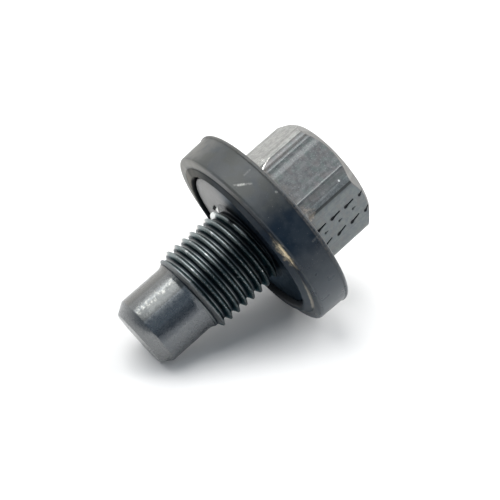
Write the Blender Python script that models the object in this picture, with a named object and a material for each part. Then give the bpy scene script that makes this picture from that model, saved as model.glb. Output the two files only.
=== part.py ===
"""Oil drain plug, M14 x 1.5: a forged and turned steel plug with a rubber sealing ring round its flange.

The plug stands on the flat end of its hexagon head, with its axis on +Z and the shank pointing up.
Lengths are in metres. The origin is the centre of the head's end face.
"""
import math

import bmesh
import bpy

MM = 0.001

# Hexagon head, measured up from its end face
ACROSS_FLATS = 18.45 * MM
CORNER_RADIUS = 2.1 * MM
END_INSET = 0.36 * MM
END_CHAMFER_ANGLE = math.radians(45)
HEAD_HEIGHT = 11.8 * MM
ROOT_FILLET = 0.9 * MM

# Flange: a rim that the rubber grips, between a back land and a front land
BACK_LAND_RADIUS = 12.6 * MM
BACK_LAND_HEIGHT = 0.9 * MM
RIM_STEP = 1.6 * MM
RIM_THICKNESS = 2.5 * MM
FRONT_LAND_RADIUS = 12.1 * MM
FRONT_LAND_HEIGHT = 1.35 * MM
LAND_CHAMFER = 0.2 * MM

# Neck between the flange and the thread, in a shallow relief that the crests overhang
NECK_RADIUS = 5.95 * MM
NECK_FILLET = 0.15 * MM
NECK_LENGTH = 0.27 * MM
RELIEF_CLEARANCE = 0.3 * MM
RELIEF_DEPTH = 0.05 * MM

# Right-hand thread, whose ridge fades in and out over a share of a turn
THREAD_DIAMETER = 13.86 * MM
THREAD_PITCH = 1.5 * MM
CREST_WIDTH = 0.19 * MM
ROOT_WIDTH = 0.37 * MM
HALF_FLANK_ANGLE = math.radians(30)
THREAD_LENGTH = 11.48 * MM
THREAD_START_ANGLE = math.radians(180)
FADE_IN = 0.3
FADE_OUT = 0.35

# Plain pilot point that leads the thread into its hole
PILOT_RADIUS = 5.75 * MM
PILOT_RUN_UP = 0.1 * MM
PILOT_LENGTH = 7.3 * MM
TIP_RADIUS = 4.6 * MM
TIP_LENGTH = 1.75 * MM

# Rubber ring, moulded round the rim with a clearance, and its raised sealing lip
SEAT_GAP = 0.3 * MM
LIP_GROOVE = 0.4 * MM
RING_BACK_LIP = 1.1 * MM
RING_WALL = 1.46 * MM
RING_DRAFT = math.radians(2.2)
PARTING_STEP = 0.2 * MM
PARTING_HEIGHT = 0.5 * MM
BACK_ROUND = 0.45 * MM
SHOULDER_ROUND = 0.4 * MM
SHOULDER_RISE = 0.05 * MM
CREASE_WIDTH = 1.08 * MM
CROWN_HEIGHT = 0.75 * MM
CROWN_ROUND = 0.4 * MM

PLUG_SEGMENTS = 72
RING_SEGMENTS = 96

# Heights and radii worked out from the sizes above
RIM_RADIUS = BACK_LAND_RADIUS + RIM_STEP
RING_RADIUS = RIM_RADIUS + SEAT_GAP + RING_WALL
RIM_BACK = HEAD_HEIGHT + BACK_LAND_HEIGHT
RIM_FRONT = RIM_BACK + RIM_THICKNESS
FLOOR = RIM_FRONT + FRONT_LAND_HEIGHT
THREAD_STEPS = round(THREAD_LENGTH / THREAD_PITCH * PLUG_SEGMENTS)
THREAD_RADIUS = THREAD_DIAMETER / 2
FLANK_RUN = (THREAD_PITCH - CREST_WIDTH - ROOT_WIDTH) / 2
RIDGE_HEIGHT = FLANK_RUN / math.tan(HALF_FLANK_ANGLE)
ROOT_RADIUS = THREAD_RADIUS - RIDGE_HEIGHT
HALF_RIDGE = CREST_WIDTH / 2 + FLANK_RUN
THREAD_START = FLOOR + NECK_LENGTH + HALF_RIDGE


def clear_scene():
    for item in list(bpy.data.objects):
        bpy.data.objects.remove(item, do_unlink=True)


def principled(name, colour, roughness, metallic):
    material = bpy.data.materials.new(name)
    material.use_nodes = True
    shader = material.node_tree.nodes["Principled BSDF"]
    shader.inputs["Base Color"].default_value = (*colour, 1.0)
    shader.inputs["Roughness"].default_value = roughness
    shader.inputs["Metallic"].default_value = metallic
    return material


def arc(centre_r, centre_z, radius, start, end, steps):
    """Profile points (r, z) on an arc; its angles are in radians from the outward direction."""
    points = []
    for step in range(steps + 1):
        angle = start + (end - start) * step / steps
        points.append((centre_r + radius * math.cos(angle), centre_z + radius * math.sin(angle)))
    return points


def add_row(bm, radius_at, height_at, segments):
    """A closed row of points round the axis, whose radius and height depend on the angle."""
    row = []
    for step in range(segments):
        angle = math.tau * step / segments
        radius = radius_at(angle)
        row.append(bm.verts.new((radius * math.cos(angle), radius * math.sin(angle), height_at(angle))))
    return row


def add_round_row(bm, radius, height, segments):
    return add_row(bm, lambda angle: radius, lambda angle: height, segments)


def skin(bm, lower, upper):
    """Quads between two closed rows; they face outwards where the profile runs up its outer side."""
    count = len(lower)
    for here in range(count):
        after = (here + 1) % count
        bm.faces.new((lower[here], lower[after], upper[after], upper[here]))


def finish(bm, name, material):
    mesh = bpy.data.meshes.new(name)
    bm.to_mesh(mesh)
    bm.free()
    mesh.materials.append(material)
    mesh.shade_smooth()
    mesh.set_sharp_from_angle(angle=math.radians(28))
    bpy.context.collection.objects.link(bpy.data.objects.new(name, mesh))


def hex_radius(angle):
    """Distance from the axis to the rounded hexagon, whose corners lie at multiples of 60 degrees."""
    half_sector = math.radians(30)
    from_corner = abs((angle + half_sector) % (2 * half_sector) - half_sector)
    half_flats = ACROSS_FLATS / 2
    centre = (half_flats - CORNER_RADIUS) / math.cos(half_sector)
    tangent_side = CORNER_RADIUS * math.sin(half_sector)
    tangent_ahead = centre + CORNER_RADIUS * math.cos(half_sector)
    if from_corner < math.atan2(tangent_side, tangent_ahead):
        across = centre * math.sin(from_corner)
        return centre * math.cos(from_corner) + math.sqrt(CORNER_RADIUS ** 2 - across ** 2)
    return half_flats / math.cos(half_sector - from_corner)


def add_head(bm):
    """End face, chamfer and six flats, up to a fillet that flares into the flange's back face."""
    end_radius = ACROSS_FLATS / 2 - END_INSET
    slope = math.tan(END_CHAMFER_ANGLE)
    last = add_round_row(bm, end_radius, 0.0, PLUG_SEGMENTS)
    bm.faces.new(list(reversed(last)))
    chamfer = add_row(bm, hex_radius, lambda angle: (hex_radius(angle) - end_radius) * slope, PLUG_SEGMENTS)
    skin(bm, last, chamfer)
    last = chamfer
    for out, up in arc(ROOT_FILLET, HEAD_HEIGHT - ROOT_FILLET, ROOT_FILLET, math.pi, math.pi / 2, 3):
        row = add_row(bm, lambda angle: hex_radius(angle) + out, lambda angle: up, PLUG_SEGMENTS)
        skin(bm, last, row)
        last = row
    return last


def add_profile(bm, last, points):
    for radius, height in points:
        row = add_round_row(bm, radius, height, PLUG_SEGMENTS)
        skin(bm, last, row)
        last = row
    return last


def flange_profile():
    """Flange and neck as (r, z), from the edge of the back face to the start of the thread."""
    points = [(BACK_LAND_RADIUS, HEAD_HEIGHT), (BACK_LAND_RADIUS, RIM_BACK)]
    points += [(RIM_RADIUS, RIM_BACK), (RIM_RADIUS, RIM_FRONT), (FRONT_LAND_RADIUS, RIM_FRONT)]
    points += [(FRONT_LAND_RADIUS, FLOOR - LAND_CHAMFER), (FRONT_LAND_RADIUS - LAND_CHAMFER, FLOOR)]
    relief_radius = THREAD_RADIUS + RELIEF_CLEARANCE
    relief_floor = FLOOR - RELIEF_DEPTH
    points += [(relief_radius, FLOOR), (relief_radius - RELIEF_DEPTH, relief_floor)]
    points += arc(NECK_RADIUS + NECK_FILLET, relief_floor + NECK_FILLET, NECK_FILLET, 1.5 * math.pi, math.pi, 3)
    return points


def add_thread_row(bm, step):
    """The ridge's section at one step of the helix: lower base, crest's two edges, upper base."""
    turns = step / PLUG_SEGMENTS
    left = (THREAD_STEPS - step) / PLUG_SEGMENTS
    angle = THREAD_START_ANGLE + math.tau * turns
    middle = THREAD_START + THREAD_PITCH * turns
    growth = min(1.0, turns / FADE_IN) * min(1.0, left / FADE_OUT)
    # the ground under the ridge climbs from the root to the pilot's radius, which it meets a turn later
    climb = PILOT_RADIUS - ROOT_RADIUS
    lower_radius = ROOT_RADIUS + climb * max(0.0, 1.0 - left / FADE_OUT)
    upper_radius = ROOT_RADIUS + climb * min(1.0, max(0.0, 1.0 - left) / FADE_OUT)
    crest_radius = lower_radius + RIDGE_HEIGHT * growth
    section = [(lower_radius, -HALF_RIDGE), (crest_radius, -CREST_WIDTH / 2)]
    section += [(crest_radius, CREST_WIDTH / 2), (upper_radius, HALF_RIDGE)]
    side = (math.cos(angle), math.sin(angle))
    return [bm.verts.new((radius * side[0], radius * side[1], middle + rise)) for radius, rise in section]


def add_thread(bm, below, above):
    """A right-hand ridge wound between two round rows; one face closes each of its two ends."""
    rows = [add_thread_row(bm, step) for step in range(THREAD_STEPS + 1)]
    for here, after in zip(rows, rows[1:]):
        for edge in range(3):
            bm.faces.new((here[edge], after[edge], after[edge + 1], here[edge + 1]))
    for here, after, next_turn, after_next in zip(rows, rows[1:], rows[PLUG_SEGMENTS:], rows[PLUG_SEGMENTS + 1:]):
        bm.faces.new((here[3], after[3], after_next[0], next_turn[0]))

    start_column = round(THREAD_START_ANGLE / math.tau * PLUG_SEGMENTS)
    last_turn = THREAD_STEPS - PLUG_SEGMENTS
    for step in range(PLUG_SEGMENTS):
        column = (start_column + step) % PLUG_SEGMENTS
        after_column = (column + 1) % PLUG_SEGMENTS
        foot = [rows[step + 1][0], rows[step][0]]
        if step == PLUG_SEGMENTS - 1:
            foot = rows[0] + foot
        bm.faces.new([below[column], below[after_column]] + foot)

        column = (start_column + last_turn + step) % PLUG_SEGMENTS
        after_column = (column + 1) % PLUG_SEGMENTS
        base = [rows[last_turn + step][3], rows[last_turn + step + 1][3]]
        if step == 0:
            base = rows[THREAD_STEPS][::-1] + base
        bm.faces.new(base + [above[after_column], above[column]])


def build_plug():
    bm = bmesh.new()
    neck = add_profile(bm, add_head(bm), flange_profile())
    thread_end = THREAD_START + THREAD_PITCH * THREAD_STEPS / PLUG_SEGMENTS
    pilot_start = thread_end + HALF_RIDGE + PILOT_RUN_UP
    pilot = add_round_row(bm, PILOT_RADIUS, pilot_start, PLUG_SEGMENTS)
    add_thread(bm, neck, pilot)
    shoulder = pilot_start + PILOT_LENGTH
    tip = add_profile(bm, pilot, [(PILOT_RADIUS, shoulder), (TIP_RADIUS, shoulder + TIP_LENGTH)])
    bm.faces.new(tip)
    finish(bm, "plug_body", principled("dark_phosphate_steel", (0.15, 0.155, 0.16), 0.42, 0.85))


def ring_profile():
    """The rubber's section as (r, z), from the bore of its back lip round its outer side."""
    back = RIM_BACK - SEAT_GAP - RING_BACK_LIP
    parting = back + PARTING_HEIGHT
    back_radius = RING_RADIUS + PARTING_STEP
    crown = FLOOR + CROWN_HEIGHT
    bore = FRONT_LAND_RADIUS + LIP_GROOVE
    crown_centre = (bore + CROWN_ROUND, crown - CROWN_ROUND)
    crease = (crown_centre[0] + CREASE_WIDTH, FLOOR + SHOULDER_RISE)
    front_radius = RING_RADIUS - (FLOOR - SHOULDER_ROUND - parting) * math.tan(RING_DRAFT)
    # the cone from the crease runs on into the crown's round
    run = crease[0] - crown_centre[0]
    rise = crease[1] - crown_centre[1]
    meeting = math.atan2(rise, run) + math.acos(min(1.0, CROWN_ROUND / math.hypot(run, rise)))

    points = [(BACK_LAND_RADIUS + SEAT_GAP, back)]
    points += arc(back_radius - BACK_ROUND, back + BACK_ROUND, BACK_ROUND, -math.pi / 2, 0.0, 4)
    points += [(back_radius, parting), (RING_RADIUS, parting + PARTING_STEP)]
    points += arc(front_radius - SHOULDER_ROUND, FLOOR - SHOULDER_ROUND, SHOULDER_ROUND, 0.0, math.pi / 2, 4)
    points.append(crease)
    points += arc(crown_centre[0], crown_centre[1], CROWN_ROUND, meeting, math.pi, 4)
    points.append((bore, RIM_FRONT + SEAT_GAP))
    points.append((RIM_RADIUS + SEAT_GAP, RIM_FRONT + SEAT_GAP))
    points.append((RIM_RADIUS + SEAT_GAP, RIM_BACK - SEAT_GAP))
    points.append((BACK_LAND_RADIUS + SEAT_GAP, RIM_BACK - SEAT_GAP))
    return points


def build_ring():
    bm = bmesh.new()
    rows = [add_round_row(bm, radius, height, RING_SEGMENTS) for radius, height in ring_profile()]
    for here, row in enumerate(rows):
        skin(bm, row, rows[(here + 1) % len(rows)])
    finish(bm, "sealing_ring", principled("black_rubber", (0.06, 0.065, 0.072), 0.55, 0.0))


clear_scene()
build_plug()
build_ring()
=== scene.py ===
# %% [markdown]
# # An oil drain plug, dressed
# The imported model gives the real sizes: one steel plug and one rubber ring, standing on the hexagon's end.
# This lesson replaces both with finer meshes, gives them their finishes and sets up the picture.

# %% Load the frame
import math

import bpy
import numpy as np
from mathutils import Matrix, Vector


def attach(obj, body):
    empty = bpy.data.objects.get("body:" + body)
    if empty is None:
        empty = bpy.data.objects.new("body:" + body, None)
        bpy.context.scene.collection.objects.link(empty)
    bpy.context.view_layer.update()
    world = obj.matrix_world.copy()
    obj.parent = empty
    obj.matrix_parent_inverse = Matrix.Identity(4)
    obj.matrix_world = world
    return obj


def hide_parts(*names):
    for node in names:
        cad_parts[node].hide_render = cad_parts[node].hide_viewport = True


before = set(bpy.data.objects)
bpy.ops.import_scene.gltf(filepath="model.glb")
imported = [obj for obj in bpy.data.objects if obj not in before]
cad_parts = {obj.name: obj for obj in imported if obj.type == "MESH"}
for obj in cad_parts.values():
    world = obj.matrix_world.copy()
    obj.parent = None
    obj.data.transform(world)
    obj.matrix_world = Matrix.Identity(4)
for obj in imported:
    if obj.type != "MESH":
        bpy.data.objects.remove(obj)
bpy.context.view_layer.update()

MM = 0.001

# %% [markdown]
# ## Rows round an axis
# Nearly everything on a plug is turned on a lathe. A turned surface is a stack of rows round one axis, and
# a hexagon is the same stack with a radius that changes with the angle. Spin could turn a section too, but
# here the columns have to crowd where small marks need them. So one helper serves both pieces: it joins
# neighbouring rows of radii and heights with quads, and closes the ends.

# %% A helper that skins rows
def turned_mesh(name, angles, radii, heights, closed_section=False):
    """radii and heights are rows x columns in mm; the section either closes on itself or gets end caps."""
    rows, columns = radii.shape
    points = np.stack([radii * np.cos(angles), radii * np.sin(angles), heights], axis=2)
    faces = []
    for row in range(rows if closed_section else rows - 1):
        here = row * columns
        above = (row + 1) % rows * columns
        for column in range(columns):
            after = (column + 1) % columns
            faces.append((here + column, here + after, above + after, above + column))
    if not closed_section:
        faces.append(tuple(range(columns))[::-1])
        faces.append(tuple(range((rows - 1) * columns, rows * columns)))
    mesh = bpy.data.meshes.new(name)
    mesh.from_pydata((points.reshape(-1, 3) * MM).tolist(), [], faces)
    mesh.validate()
    mesh.shade_smooth()
    print(name, "has", rows, "rows of", columns, "points")
    return mesh


def level_row(angles, radius, height):
    """A row with one radius and one height all round."""
    return np.full_like(angles, radius), np.full_like(angles, height)

# %% [markdown]
# ## A finished piece
# A finished piece keeps its place in its mesh, as a imported part does, and its object stays at the origin. It
# rides on the plug's only body and stands for its imported solid.

# %% A helper that hands a piece over
def place(name, mesh, material_slot, node):
    piece = bpy.data.objects.new(name, mesh)
    bpy.context.collection.objects.link(piece)
    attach(piece, "root")
    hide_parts(node)
    triangles = sum(len(face.vertices) - 2 for face in mesh.polygons)
    print(name, "has", triangles, "triangles")

# %% [markdown]
# ## The columns round the hexagon
# Each of the six flats is 18.45 mm from its opposite. The corners are rounded, so columns crowd there, and
# they crowd again on the one flat that carries small nicks. Elsewhere a flat needs few columns.

# %% Angles of the columns
ACROSS_FLATS = 18.45
HALF_FLAT = ACROSS_FLATS / 2
HALF_SIDE = HALF_FLAT * math.tan(math.radians(30))
NICKED_FLAT = 210
FINE_STEP = 0.06

plain_columns = [
    -5.1, -4.85, -4.6, -4.35, -4.1, -3.85, -3.4, -2.85, -2.74, -2.65, -2.56, -2.45, -1.8, -1, 0,
    1, 1.8, 2.6, 3.2, 3.5, 3.64, 3.75, 3.86, 4, 4.1, 4.35, 4.6, 4.85, 5.1,
]
fine_columns = [t for t in plain_columns if t < -2.5] + list(np.arange(-2.4, 2.45, FINE_STEP))
fine_columns += [t for t in plain_columns if t > 2.5]


def hexagon_angles():
    angles = []
    for flat in range(30, 390, 60):
        columns = fine_columns if flat == NICKED_FLAT else plain_columns
        angles.append(math.radians(flat) - math.atan2(HALF_SIDE, HALF_FLAT))
        angles += [math.radians(flat) + math.atan2(t, HALF_FLAT) for t in columns]
    return np.array(angles)


angles = hexagon_angles()
print(len(angles), "columns round the plug")

# %% [markdown]
# ## The shape of the hexagon
# Seen from its end, the head is six straight flats joined by rounded corners. For every angle we work out
# how far the outline lies from the axis, and also the place on its flat, because the nicks need that.

# %% Outline of the hexagon
CORNER_RADIUS = 2.1
SECTOR = math.radians(60)


def hexagon_radius(angles):
    """Distance from the axis to the flats, or to the round of a corner near multiples of 60 degrees."""
    from_corner = np.abs((angles + SECTOR / 2) % SECTOR - SECTOR / 2)
    centre = (HALF_FLAT - CORNER_RADIUS) / math.cos(SECTOR / 2)
    on_flat = HALF_FLAT / np.cos(SECTOR / 2 - from_corner)
    reach = CORNER_RADIUS ** 2 - (centre * np.sin(from_corner)) ** 2
    on_corner = centre * np.cos(from_corner) + np.sqrt(np.maximum(reach, 0))
    tangent = math.atan2(CORNER_RADIUS * 0.5, centre + CORNER_RADIUS * math.cos(SECTOR / 2))
    return np.where(from_corner < tangent, on_corner, on_flat)


hexagon = hexagon_radius(angles)
flat_centres = SECTOR / 2 + np.floor(angles / SECTOR) * SECTOR
across_flat = HALF_FLAT * np.tan(angles - flat_centres)
print("over the corners:", round(2 * float(hexagon.max()), 2), "mm")

# %% [markdown]
# ## The head, row by row
# The end face is chamfered at 45 degrees. A cone that cuts six flats leaves a scalloped edge, because it
# reaches further down at the corners. Rows sit close together at every edge, so that smooth shading rounds
# it a little, as on a tumbled forging. At the other end the flats flare into the flange.

# %% Rows of the head
END_RADIUS = HALF_FLAT - 0.36
HEAD_HEIGHT = 11.8
ROOT_FILLET = 0.9
FLAT_ROWS = 104
FLARE_TURNS = np.radians([15, 30, 45, 60, 75, 90])

head_rows = [level_row(angles, share * END_RADIUS, 0) for share in (0.2, 0.6, 0.9, 0.985)]
chamfer_edge = hexagon - END_RADIUS
for share in (0, 0.06, 0.3, 0.55, 0.8, 0.94, 1):
    head_rows.append((END_RADIUS + share * chamfer_edge, share * chamfer_edge))
flat_top = HEAD_HEIGHT - ROOT_FILLET
for share in np.concatenate([[0.006, 0.012], np.linspace(0.02, 1, FLAT_ROWS)]):
    head_rows.append((hexagon, chamfer_edge + share * (flat_top - chamfer_edge)))
for turn in FLARE_TURNS:
    flare_height = flat_top + ROOT_FILLET * math.sin(turn)
    head_rows.append((hexagon + ROOT_FILLET * (1 - math.cos(turn)), np.full_like(angles, flare_height)))
print(len(head_rows), "rows in the head")

# %% [markdown]
# ## The flange, the core of the thread and the pilot
# The rest is truly round. Its section is a list of radius and height, with a pair of close points at each
# edge. The thread's ridge is made later, so here the shank is only the smooth core between its turns.

# %% Rows of the turned part
STEP_RADIUS = 12.58
RIM_RADIUS = 14.18
RIM_BACK = 12.7
RIM_FRONT = 15.2
FACE_RADIUS = 12.1
FLOOR = 16.55
NECK_RADIUS = 5.95
CORE_RADIUS = 6.116
PILOT_START = 29.57
PILOT_RADIUS = 5.75
SHOULDER = 36.83
TIP_RADIUS = 4.65
TIP = 38.575


def eased(points, ease):
    """Puts two points near each corner of a section in place of it, so that smooth shading rounds it."""
    out = [points[0]]
    for before, corner, after in zip(points, points[1:], points[2:]):
        for other in (before, after):
            near = min(ease / math.dist(corner, other), 0.45)
            out.append(tuple(c + near * (o - c) for c, o in zip(corner, other)))
    return out + [points[-1]]


turned_section = [
    (11.8, HEAD_HEIGHT), (STEP_RADIUS, HEAD_HEIGHT), (STEP_RADIUS, RIM_BACK), (RIM_RADIUS, RIM_BACK),
    (RIM_RADIUS, RIM_FRONT), (FACE_RADIUS, RIM_FRONT), (FACE_RADIUS, FLOOR - 0.2), (FACE_RADIUS - 0.2, FLOOR),
    (9.6, FLOOR), (7.3, FLOOR), (7.23, FLOOR - 0.05), (6.12, FLOOR - 0.05), (NECK_RADIUS, FLOOR + 0.12),
    (NECK_RADIUS, FLOOR + 0.24), (CORE_RADIUS, FLOOR + 0.34), (CORE_RADIUS, PILOT_START - 0.7),
    (PILOT_RADIUS + 0.03, PILOT_START), (PILOT_RADIUS, PILOT_START + 0.3), (PILOT_RADIUS, 33),
    (PILOT_RADIUS, SHOULDER), (TIP_RADIUS, TIP), (TIP_RADIUS * 0.6, TIP), (0.6, TIP),
]
EDGE_EASE = 0.07
turned_rows = [level_row(angles, radius, height) for radius, height in eased(turned_section, EDGE_EASE)]
steel_radii = np.array([row[0] for row in head_rows + turned_rows])
steel_heights = np.array([row[1] for row in head_rows + turned_rows])
print(steel_radii.shape, "rows and columns in the plug")

# %% [markdown]
# ## Nicks on one flat
# One flat carries short tapered nicks in rows, struck with a small punch. They are real relief: rows and
# columns are close enough there for the surface to be pushed in, which is simpler than cutting each nick.

# %% Depth of the nicks
NICK_ROWS = (2.4, 5.12, 7.93)

# each nick: place across the flat and height of its thin end, the same of its wide end, and its strength
nicks = [(2.12, 0.55, 1.82, 1.1, 0.9), (-1.25, 0.45, -1.8, 1.16, 0.9)]
for z in NICK_ROWS:
    nicks.append((2.06, z, 1.84, z + 1.52, 1))
    nicks.append((-1.36, z + 0.06, -1.78, z + 1.55, 1))
    nicks.append((0.44, z + 0.14, 0.41, z + 0.55, 0.4))


def smooth_step(low, high, value):
    share = np.clip((value - low) / (high - low), 0, 1)
    return share * share * (3 - 2 * share)


def nick_depth(across, height):
    """1 in the middle of a nick, 0 away from it; each is a stroke that widens into a round end."""
    depth = np.zeros_like(across)
    for t0, z0, t1, z1, strength in nicks:
        run = t1 - t0
        rise = z1 - z0
        share = ((across - t0) * run + (height - z0) * rise) / math.hypot(run, rise) ** 2
        along = np.clip(share, 0, 1)
        away = np.hypot(across - t0 - along * run, height - z0 - along * rise)
        width = 0.15 + 0.08 * along + 0.2 * smooth_step(0.6, 0.95, along)
        depth = np.maximum(depth, strength * (1 - smooth_step(0.35 * width, width, away)))
    return depth


longest = max(math.hypot(t1 - t0, z1 - z0) for t0, z0, t1, z1, strength in nicks)
print(len(nicks), "nicks, the longest", round(longest, 2), "mm")

# %% [markdown]
# ## Relief on the flats
# Every flat also has two faint raised lines that run along it, left by the die. Lines and nicks are added to
# the radii before the mesh is made. A vertex attribute keeps where the nicks are, because the material
# paints them nearly black.

# %% Mesh of the plug
NICK_DEPTH = 0.16
LINE_HEIGHT = 0.035

on_flats = slice(0, len(head_rows) - len(FLARE_TURNS))
flat_heights = steel_heights[on_flats]
on_nicked_flat = np.abs(flat_centres - math.radians(NICKED_FLAT)) < 0.01
nicked = np.zeros_like(steel_radii)
nicked[on_flats] = nick_depth(np.broadcast_to(across_flat, flat_heights.shape), flat_heights) * on_nicked_flat
lines = 0.7 * np.exp(-((across_flat - 3.75) / 0.11) ** 2) + 0.8 * np.exp(-((across_flat + 2.65) / 0.09) ** 2)
fading = smooth_step(0.3, 1.2, steel_heights) * (1 - smooth_step(9.4, 10.6, steel_heights))
steel_radii += LINE_HEIGHT * lines * fading - NICK_DEPTH * nicked
print("deepest nick:", round(NICK_DEPTH * float(nicked.max()), 2), "mm")

plug_mesh = turned_mesh("plug_steel", angles, steel_radii, steel_heights)
nick_layer = plug_mesh.attributes.new("nick", "FLOAT", "POINT")
nick_layer.data.foreach_set("value", nicked.reshape(-1).astype(np.float32))
place("plug_steel", plug_mesh, "dark_steel", "plug_body")

# %% [markdown]
# ## Nodes in short
# The thread and all finishes are node trees. Small helpers keep them readable: one gives a socket a number,
# a colour or another node's output, and one adds a node together with its settings and inputs.

# %% Helpers that add nodes
def feed(socket, value):
    if isinstance(value, bpy.types.NodeSocket):
        socket.id_data.links.new(value, socket)
    elif isinstance(value, tuple):
        socket.default_value = value + (1,) * (len(socket.default_value) - len(value))
    else:
        socket.default_value = value


def add_node(tree, kind, inputs=None, **settings):
    """inputs maps a socket's name or number to a value."""
    node = tree.nodes.new(kind)
    for name, value in settings.items():
        setattr(node, name, value)
    for name, value in (inputs or {}).items():
        feed(node.inputs[name], value)
    return node


def calculate(tree, operation, *values):
    return add_node(tree, "ShaderNodeMath", dict(enumerate(values)), operation=operation).outputs[0]

# %% [markdown]
# ## Sizes of the thread
# It is a standard M14 x 1.5 thread, here a little worn, at 13.86 mm over its crests. Its flanks lean at 30
# degrees, so width and height depend on each other, and the part that sinks into the core widens with them.

# %% Sizes of the ridge
CREST_RADIUS = 6.93
PITCH = 1.5
START_ANGLE = 172
START_HEIGHT = 17.352
SINK = 0.15
CREST_WIDTH = 0.19
ridge_height = CREST_RADIUS - CORE_RADIUS + SINK
base_width = CREST_WIDTH + 2 * ridge_height * math.tan(math.radians(30))
thread_material = bpy.data.materials.new("thread_steel")
ridge_sizes = {
    "Core Radius": (CORE_RADIUS - SINK) * MM, "Start Height": START_HEIGHT * MM,
    "Start Angle": math.radians(START_ANGLE), "Pitch": PITCH * MM, "Turns": 7.675,
    "Ridge Height": ridge_height * MM, "Base Width": base_width * MM, "Crest Width": CREST_WIDTH * MM,
    "Crest Round": 0.07 * MM, "Fade In": 0.03, "Fade Out": 0.35, "Steps per Turn": 180,
    "Material": thread_material,
}
print("ridge", round(ridge_height, 2), "mm high and", round(base_width, 2), "mm wide at its base")

# %% [markdown]
# ## The thread
# A thread is the plainest case of a shape that follows a rule: one section swept along a helix. Geometry
# Nodes have both parts ready, Curve Spiral for the path and Curve to Mesh for the sweep. Reverse makes the
# spiral climb to the right. The section is a trapezoid with rounded crests that reaches a little below the
# core, so no gap can show.

# %% Path and section of the ridge
def ridge_path(tree, size):
    """A right-handed helix whose normals stand along the axis."""
    spiral = add_node(tree, "GeometryNodeCurveSpiral", {
        "Reverse": True, "Resolution": size["Steps per Turn"], "Rotations": size["Turns"],
        "Start Radius": size["Core Radius"], "End Radius": size["Core Radius"],
        "Height": calculate(tree, "MULTIPLY", size["Pitch"], size["Turns"]),
    })
    upright = add_node(tree, "GeometryNodeSetCurveNormal", {"Curve": spiral.outputs["Curve"]}, mode="Z_UP")
    return upright.outputs["Curve"]


def ridge_section(tree, size):
    """A trapezoid that stands outwards from the path, with its corners rounded."""
    trapezoid = add_node(tree, "GeometryNodeCurvePrimitiveQuadrilateral", {
        "Offset": 0, "Bottom Width": size["Base Width"], "Top Width": size["Crest Width"],
        "Height": size["Ridge Height"],
    }, mode="TRAPEZOID")
    rounded = add_node(tree, "GeometryNodeFilletCurve", {
        "Count": 3, "Limit Radius": True, "Curve": trapezoid.outputs["Curve"], "Radius": size["Crest Round"],
    }, mode="POLY")
    half_height = calculate(tree, "MULTIPLY", size["Ridge Height"], 0.5)
    stand = add_node(tree, "GeometryNodeTransform", {
        "Rotation": (0, 0, -math.pi / 2), "Geometry": rounded.outputs["Curve"],
        "Translation": add_node(tree, "ShaderNodeCombineXYZ", {"X": half_height}).outputs[0],
    })
    return stand.outputs["Geometry"]

# %% [markdown]
# ## The ends of the thread
# A rolled thread starts and runs out gradually. Curve to Mesh has a Scale input for that: it follows how
# many turns lie behind and ahead of a point, each as a share of its fade.

# %% Fade of the ridge
END_SCALE = 0.05


def ridge_scale(tree, size):
    along = add_node(tree, "GeometryNodeSplineParameter").outputs["Factor"]
    behind = calculate(tree, "MULTIPLY", along, size["Turns"])
    ahead = calculate(tree, "SUBTRACT", size["Turns"], behind)
    grown = calculate(tree, "MINIMUM", calculate(tree, "DIVIDE", behind, size["Fade In"]), 1)
    left = calculate(tree, "MINIMUM", calculate(tree, "DIVIDE", ahead, size["Fade Out"]), 1)
    # the two ends stay a hair above nothing, so that the caps keep their faces
    return calculate(tree, "MAXIMUM", calculate(tree, "MULTIPLY", grown, left), END_SCALE)

# %% [markdown]
# ## The ridge's tree
# The tree's inputs are the sizes that a machinist would name. It sweeps the section, turns and lifts it to
# its start, and ends in Realize Instances and Set Material, because an export keeps only real faces.

# %% Node tree of the ridge
SOCKET_KINDS = {float: "NodeSocketFloat", int: "NodeSocketInt", bpy.types.Material: "NodeSocketMaterial"}


def ridge_tree():
    """The tree, and the identifier of each of its inputs by name."""
    tree = bpy.data.node_groups.new("thread_ridge", "GeometryNodeTree")
    tree.interface.new_socket(name="Geometry", in_out="OUTPUT", socket_type="NodeSocketGeometry")
    names = {}
    for name, value in ridge_sizes.items():
        kind = SOCKET_KINDS[type(value)]
        names[name] = tree.interface.new_socket(name=name, in_out="INPUT", socket_type=kind).identifier
    size = tree.nodes.new("NodeGroupInput").outputs
    sweep = add_node(tree, "GeometryNodeCurveToMesh", {
        "Fill Caps": True, "Curve": ridge_path(tree, size), "Profile Curve": ridge_section(tree, size),
        "Scale": ridge_scale(tree, size),
    })
    seat = add_node(tree, "GeometryNodeTransform", {
        "Geometry": sweep.outputs["Mesh"],
        "Rotation": add_node(tree, "ShaderNodeCombineXYZ", {"Z": size["Start Angle"]}).outputs[0],
        "Translation": add_node(tree, "ShaderNodeCombineXYZ", {"Z": size["Start Height"]}).outputs[0],
    })
    smooth = add_node(tree, "GeometryNodeSetShadeSmooth", {"Geometry": seat.outputs["Geometry"]})
    real = add_node(tree, "GeometryNodeRealizeInstances", {"Geometry": smooth.outputs["Geometry"]})
    painted = add_node(tree, "GeometryNodeSetMaterial", {
        "Geometry": real.outputs["Geometry"], "Material": size["Material"],
    })
    add_node(tree, "NodeGroupOutput", {"Geometry": painted.outputs["Geometry"]})
    return tree, names


ridge_nodes, ridge_names = ridge_tree()
print(len(ridge_nodes.nodes), "nodes and", len(ridge_names), "inputs in the ridge's tree")

# %% [markdown]
# ## Sweeping the ridge
# A tree runs on an object. A helper object carries it once, its result becomes a plain mesh, and the
# helper goes again.

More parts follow.
